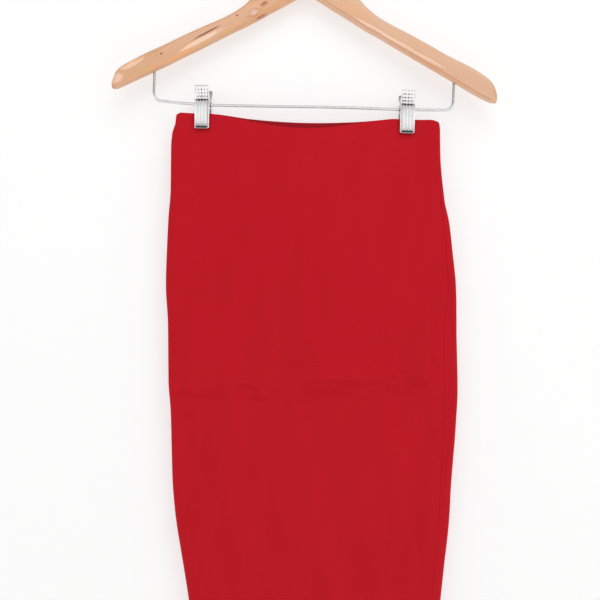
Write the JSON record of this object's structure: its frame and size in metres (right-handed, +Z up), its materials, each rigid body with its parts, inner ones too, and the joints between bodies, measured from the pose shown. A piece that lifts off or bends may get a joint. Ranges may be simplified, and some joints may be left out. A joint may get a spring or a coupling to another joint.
{
  "type": "bodycon maxi skirt on a wooden clip hanger",
  "caption": "Close-fitting full-length tube skirt of stretch knit with a turned waist, hung flat by its waist from spring clips on the wire bar of a wooden hanger.",
  "frame": {"origin": "the inner crest of the hook, where a rail bears", "axes": "+Z up, from the hem to the hook; +X to the right seen from the front; -Y is the way the front of the skirt faces"},
  "size_m": [0.443, 0.0281, 1.2072],
  "materials": {
    "red_knit": "matt fine stretch knit",
    "light_wood": "satin lacquer over knotty grain",
    "tan_wood": "satin lacquer over even grain",
    "chrome": "bright plating",
    "black_rubber": "matt"
  },
  "bodies": {
    "root": {"front_panel": "red_knit", "back_panel": "red_knit", "hanger_arm_left": "light_wood", "hanger_arm_right": "tan_wood", "hook": "chrome", "trouser_bar": "chrome", "clip_left_front_leg": "chrome", "clip_left_back_leg": "chrome", "clip_left_spring": "chrome", "clip_left_front_pad": "black_rubber", "clip_left_back_pad": "black_rubber", "clip_right_front_leg": "chrome", "clip_right_back_leg": "chrome", "clip_right_spring": "chrome", "clip_right_front_pad": "black_rubber", "clip_right_back_pad": "black_rubber"}
  },
  "joints": []
}
